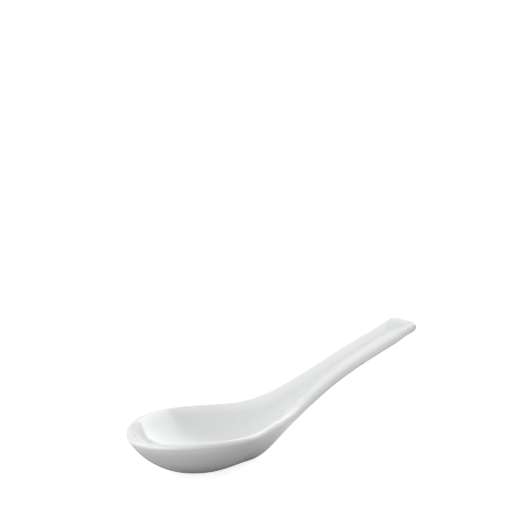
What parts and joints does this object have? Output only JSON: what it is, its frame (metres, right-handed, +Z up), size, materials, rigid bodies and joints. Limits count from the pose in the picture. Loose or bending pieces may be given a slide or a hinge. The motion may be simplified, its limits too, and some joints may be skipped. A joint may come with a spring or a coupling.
{
  "type": "porcelain spoon",
  "caption": "White glazed porcelain soup spoon with a deep flat-footed oval bowl and an upswept channelled handle.",
  "frame": {"origin": "middle of the flat foot under the bowl, on the plane that the spoon stands on", "axes": "+X along the spoon from the bowl's tip towards the handle's end, +Z up out of the bowl, +Y across the bowl"},
  "size_m": [0.13, 0.0488, 0.0391],
  "materials": {
    "porcelain_body": "matte",
    "clear_glaze": "gloss"
  },
  "bodies": {
    "root": {"porcelain_body": "porcelain_body", "clear_glaze": "clear_glaze"}
  },
  "joints": []
}
